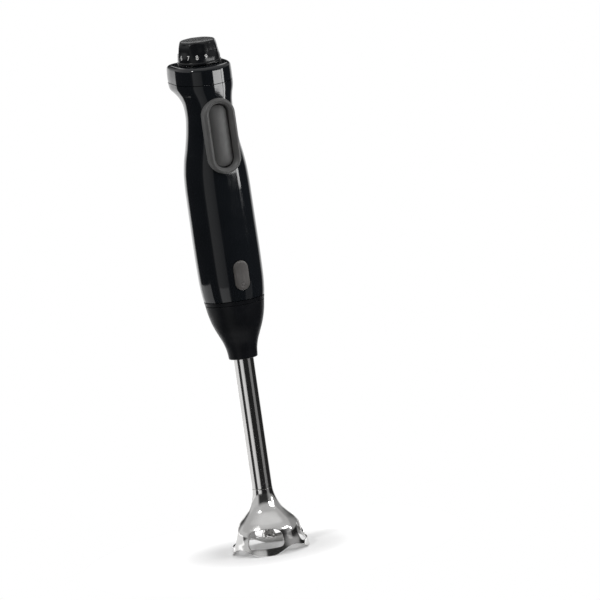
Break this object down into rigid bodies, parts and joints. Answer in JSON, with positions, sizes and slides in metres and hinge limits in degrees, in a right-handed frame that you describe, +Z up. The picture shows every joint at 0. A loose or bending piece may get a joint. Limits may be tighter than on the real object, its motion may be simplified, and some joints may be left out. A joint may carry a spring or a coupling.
{
  "type": "immersion blender",
  "caption": "Hand-held immersion blender: gloss black motor handle with a speed dial, trigger and release button, and a detachable steel arm with a guarded blade.",
  "frame": {"origin": "on the axis of the motor and arm, in the plane of the blade guard's feet", "axes": "+Z up along the tool's axis to the dial, -Y the front with the trigger and release button, +X to the right seen from the front"},
  "size_m": [0.0618, 0.0618, 0.4108],
  "materials": {
    "housing_gloss": "moulded gloss black",
    "dial_black": "satin black",
    "collar_black": "satin black",
    "soft_grey": "soft-touch dark grey",
    "button_grey": "satin grey",
    "inner_plastic": "glass-filled nylon",
    "black_rubber": "moulded rubber",
    "stainless": "polished stainless steel",
    "steel": "ground steel",
    "zinc": "zinc plated",
    "lamination": "varnished electrical steel",
    "copper": "enamelled copper",
    "bronze": "sintered bronze and brass",
    "aluminium": "extruded aluminium",
    "carbon": "carbon and moulded epoxy",
    "board_green": "coated circuit board",
    "capacitor_yellow": "capacitor case"
  },
  "bodies": {
    "handle": {"front_housing": "housing_gloss", "rear_housing": "housing_gloss", "top_cap": "housing_gloss", "base_ring": "collar_black", "chassis": "inner_plastic", "potentiometer": "zinc", "potentiometer_nut": "zinc", "cap_screw_left": "zinc", "cap_screw_right": "zinc", "cord_gland": "black_rubber", "cord_clamp": "inner_plastic", "trigger_surround": "soft_grey", "power_switch": "inner_plastic", "trigger_spring": "steel", "spring_seat": "inner_plastic", "circuit_board": "board_green", "triac": "carbon", "heat_sink": "aluminium", "suppression_capacitor": "capacitor_yellow", "choke_coil": "copper", "release_spring": "steel", "motor_stator": "lamination", "field_coil_front": "copper", "field_coil_rear": "copper", "lower_motor_bracket": "inner_plastic", "upper_motor_bracket": "inner_plastic", "lower_bearing": "steel", "upper_bearing": "steel", "motor_bolt_front": "zinc", "motor_bolt_rear": "zinc", "brush_holder_left": "bronze", "brush_left": "carbon", "brush_holder_right": "bronze", "brush_right": "carbon", "damper_ring_lower": "black_rubber", "damper_ring_upper": "black_rubber"},
    "dial": {"speed_dial": "dial_black", "potentiometer_shaft": "zinc"},
    "trigger": {"trigger_pad": "soft_grey", "trigger_carrier": "inner_plastic"},
    "switch_button": {"switch_plunger": "button_grey"},
    "release": {"release_button": "button_grey", "latch_ring": "steel"},
    "rotor": {"motor_shaft": "steel", "armature_core": "lamination", "armature_winding_lower": "copper", "armature_winding_upper": "copper", "commutator": "copper", "cooling_fan": "inner_plastic", "drive_dog": "inner_plastic"},
    "arm": {"arm_collar": "collar_black", "arm_tube": "stainless", "upper_bush": "bronze", "middle_bush": "bronze", "lower_bush": "bronze", "shaft_seal": "black_rubber", "blade_guard": "stainless"},
    "spindle": {"drive_shaft": "steel", "arm_coupling": "inner_plastic", "blade": "stainless"}
  },
  "joints": [
    {"name": "dial_turn", "type": "hinge", "parent": "handle", "child": "dial", "pos_m": [0, 0.00308, 0.39219], "axis": [0, -0.0785, 0.9969], "range_deg": [0, 200]},
    {"name": "trigger_press", "type": "slide", "parent": "handle", "child": "trigger", "axis": [0, 1, 0], "range_m": [0, 0.003], "stiffness_N_per_m": 900, "springref_m": -0.002, "deforming": ["trigger_spring"]},
    {"name": "switch_press", "type": "slide", "parent": "handle", "child": "switch_button", "axis": [0, 1, 0], "range_m": [0, 0.003]},
    {"name": "release_press", "type": "slide", "parent": "handle", "child": "release", "axis": [0, 1, 0], "range_m": [0, 0.002], "stiffness_N_per_m": 1200, "springref_m": -0.002, "deforming": ["release_spring"]},
    {"name": "arm_slide", "type": "slide", "parent": "handle", "child": "arm", "axis": [0, 0, -1], "range_m": [0, 0.04]},
    {"name": "motor_spin", "type": "hinge", "parent": "handle", "child": "rotor", "pos_m": [0, 0, 0.255], "axis": [0, 0, 1], "continuous": true},
    {"name": "blade_spin", "type": "hinge", "parent": "arm", "child": "spindle", "pos_m": [0, 0, 0.1], "axis": [0, 0, 1], "continuous": true}
  ],
  "couplings": [
    {"joint": "switch_press", "follows": "trigger_press", "ratio": 1},
    {"joint": "blade_spin", "follows": "motor_spin", "ratio": 1}
  ]
}
